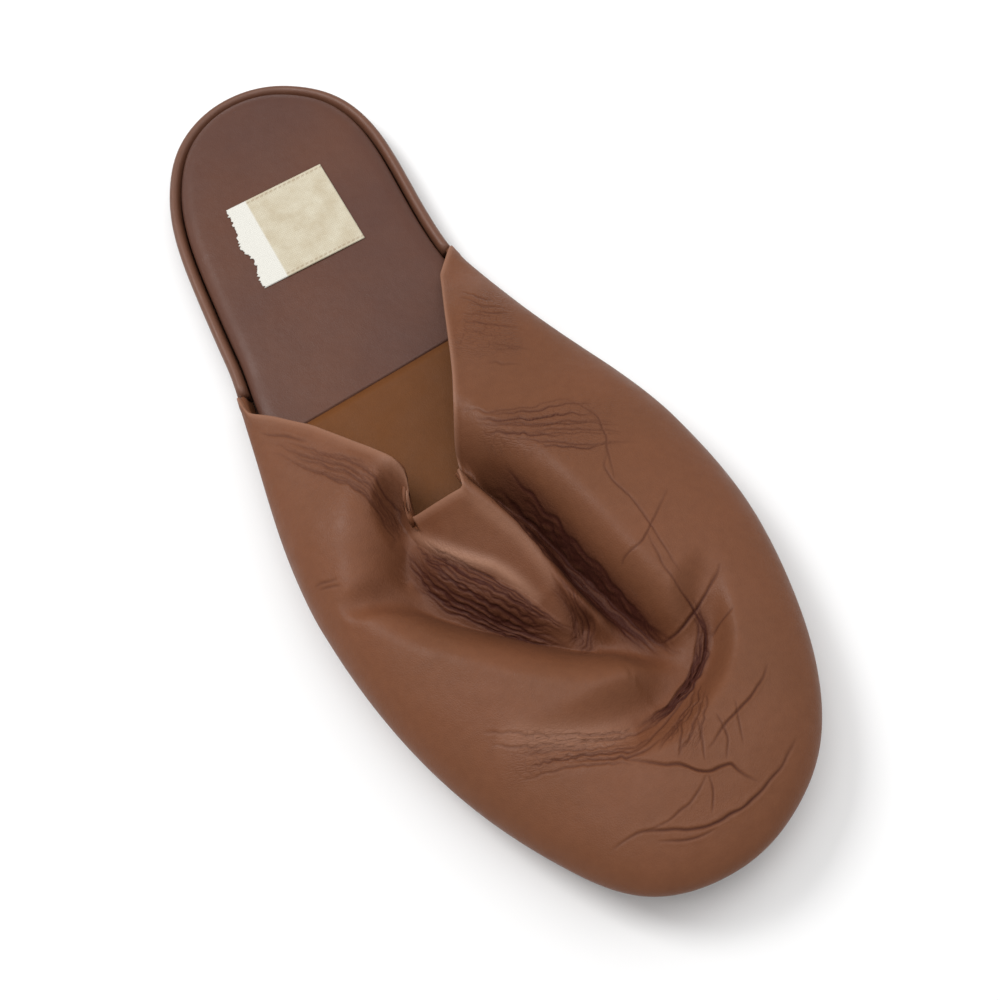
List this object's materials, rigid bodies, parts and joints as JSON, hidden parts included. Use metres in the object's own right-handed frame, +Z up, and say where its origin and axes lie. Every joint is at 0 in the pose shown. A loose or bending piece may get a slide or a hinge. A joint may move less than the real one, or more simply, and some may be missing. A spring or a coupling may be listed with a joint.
{
  "type": "travel slipper",
  "caption": "Soft leather backless travel slipper for the right foot, with a slack folded vamp, a padded heel seat and a thin flat sole.",
  "frame": {"origin": "on the floor, on the outsole's flat face under the middle of the heel seat", "axes": "+Z up from the floor, toe towards -Y, inner (big toe) side towards +X"},
  "size_m": [0.1096, 0.2807, 0.0306],
  "materials": {
    "sole_leather": "napped brown sole leather",
    "insole_board": "pressed leather board",
    "heel_sock_leather": "smooth purplish brown leather over a thin pad",
    "forefoot_sock_leather": "fine grained tan lining leather",
    "rand_leather": "soft brown leather, rolled rim",
    "upper_leather": "soft creased mid-brown nappa leather, satin",
    "label_cloth": "plain woven cream label, frayed at one edge"
  },
  "bodies": {
    "root": {"outsole": "sole_leather", "insole": "insole_board", "heel_sock": "heel_sock_leather", "forefoot_sock": "forefoot_sock_leather", "heel_rand": "rand_leather", "upper": "upper_leather", "label": "label_cloth"}
  },
  "joints": []
}
